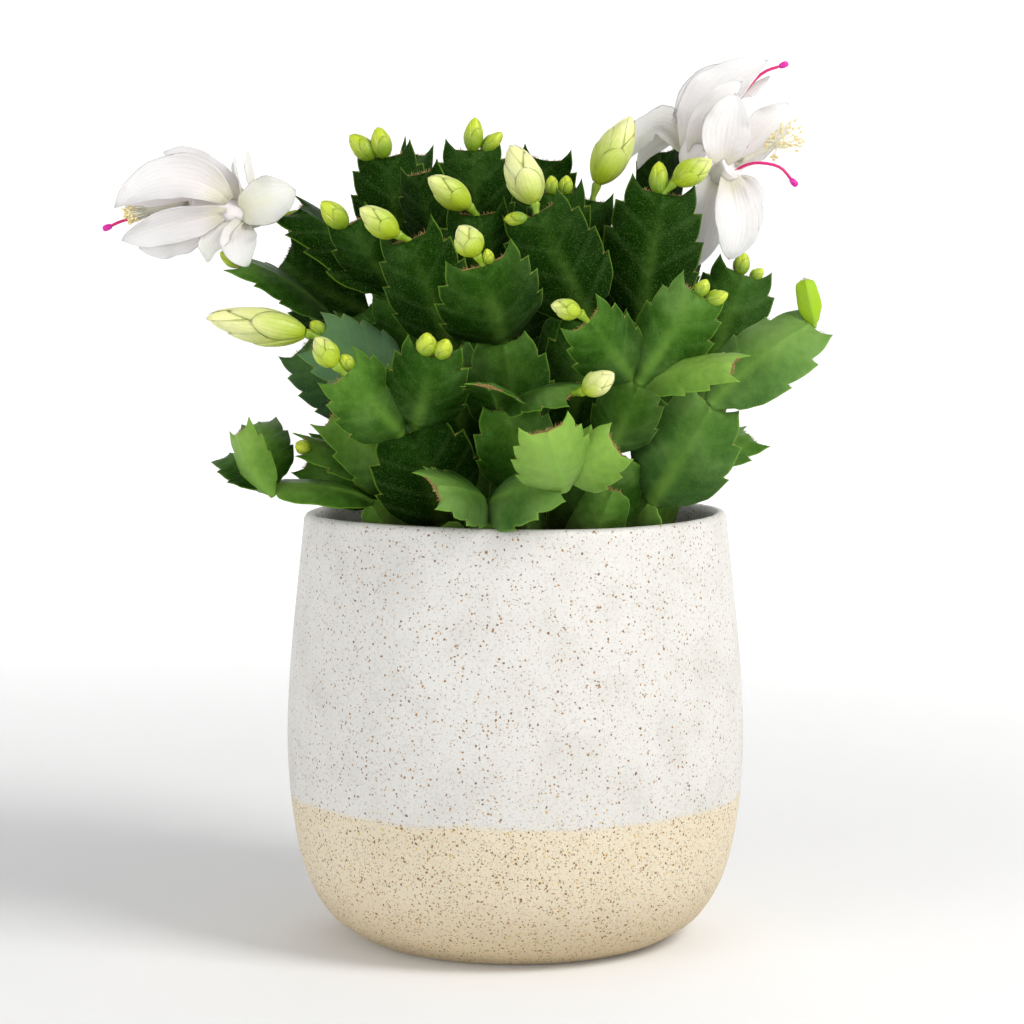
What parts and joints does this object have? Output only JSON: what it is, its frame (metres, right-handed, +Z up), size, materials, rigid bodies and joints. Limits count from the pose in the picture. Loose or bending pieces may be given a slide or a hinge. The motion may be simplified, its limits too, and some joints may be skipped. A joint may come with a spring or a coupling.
{
  "type": "potted christmas cactus",
  "caption": "Holiday cactus of flat toothed stem joints with green buds and open white flowers, planted in a round stoneware pot.",
  "frame": {"origin": "centre of the pot's flat foot, on the surface it stands on", "axes": "+Z up out of the pot's mouth, the viewer of the picture looks along +Y, +X to that viewer's right"},
  "size_m": [0.2288, 0.1887, 0.2889],
  "materials": {
    "stoneware": "white matt speckled glaze over a bare sand-coloured foot",
    "potting_mix": "loose dark potting mix",
    "green_flesh": "smooth waxy green plant flesh",
    "bud_tepals": "smooth cream and lime tepals",
    "white_petals": "thin satin white petals",
    "cream_stamens": "fine cream threads with pollen",
    "magenta_pistil": "smooth magenta"
  },
  "bodies": {
    "root": {"pot": "stoneware", "soil": "potting_mix", "stem_right_low": "green_flesh", "stem_right_mid": "green_flesh", "stem_right_side": "green_flesh", "stem_tall_right": "green_flesh", "stem_centre_right": "green_flesh", "stem_centre_front": "green_flesh", "stem_centre_left": "green_flesh", "stem_crown": "green_flesh", "stem_crown_left": "green_flesh", "stem_left_mid": "green_flesh", "stem_left_teal": "green_flesh", "stem_left_low": "green_flesh", "stem_left_side": "green_flesh", "stem_trailing": "green_flesh", "stem_front": "green_flesh", "stem_front_fan": "green_flesh", "stem_front_right": "green_flesh", "stem_far_outer_0": "green_flesh", "stem_far_outer_1": "green_flesh", "stem_far_outer_2": "green_flesh", "stem_far_outer_3": "green_flesh", "stem_far_outer_4": "green_flesh", "stem_far_inner_0": "green_flesh", "stem_far_inner_1": "green_flesh", "stem_far_inner_2": "green_flesh", "bloom_bud_1": "bud_tepals", "bloom_bud_2": "bud_tepals", "bloom_bud_3": "bud_tepals", "bloom_bud_4": "bud_tepals", "bloom_bud_5": "bud_tepals", "bloom_bud_6": "bud_tepals", "bloom_bud_7": "bud_tepals", "bloom_bud_8": "bud_tepals", "bloom_bud_9": "bud_tepals", "bloom_bud_10": "bud_tepals", "flower_left_petals": "white_petals", "flower_left_stamens": "cream_stamens", "flower_left_pistil": "magenta_pistil", "flower_upper_petals": "white_petals", "flower_upper_stamens": "cream_stamens", "flower_upper_pistil": "magenta_pistil", "flower_lower_petals": "white_petals", "flower_lower_stamens": "cream_stamens", "flower_lower_pistil": "magenta_pistil"}
  },
  "joints": []
}
